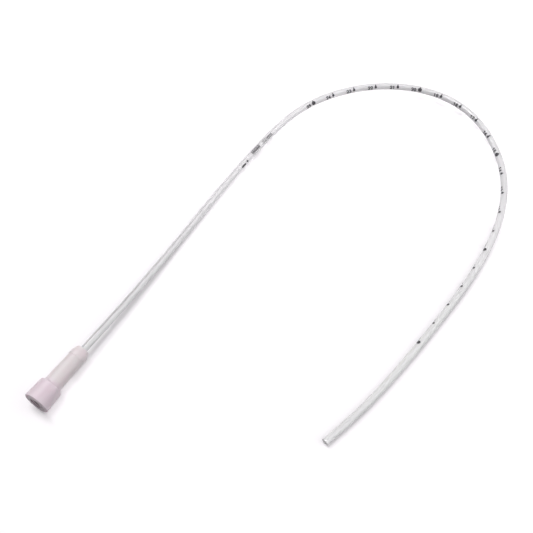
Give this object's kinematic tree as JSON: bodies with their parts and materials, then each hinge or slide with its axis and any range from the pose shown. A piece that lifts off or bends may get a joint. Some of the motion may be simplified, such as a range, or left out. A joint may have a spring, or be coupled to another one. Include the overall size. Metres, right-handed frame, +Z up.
{
  "type": "umbilical catheter",
  "caption": "Umbilical catheter: a long soft hollow tube with centimetre depth marks, bonded into a tapered plastic hub with a female luer mouth, lying in an open loop.",
  "frame": {"origin": "on the table that the catheter lies on, under the middle of the luer hub", "axes": "+Y along the hub from its luer mouth towards the tube, +X towards the side that the tube bends round to, +Z up"},
  "size_m": [0.1094, 0.2072, 0.0095],
  "materials": {
    "hub_plastic": "frosted, slightly pink, translucent moulded plastic",
    "tube_plastic": "smooth clear to milky soft tubing with dark depth marks"
  },
  "bodies": {
    "root": {"luer_hub": "hub_plastic", "catheter_tube": "tube_plastic"}
  },
  "joints": []
}
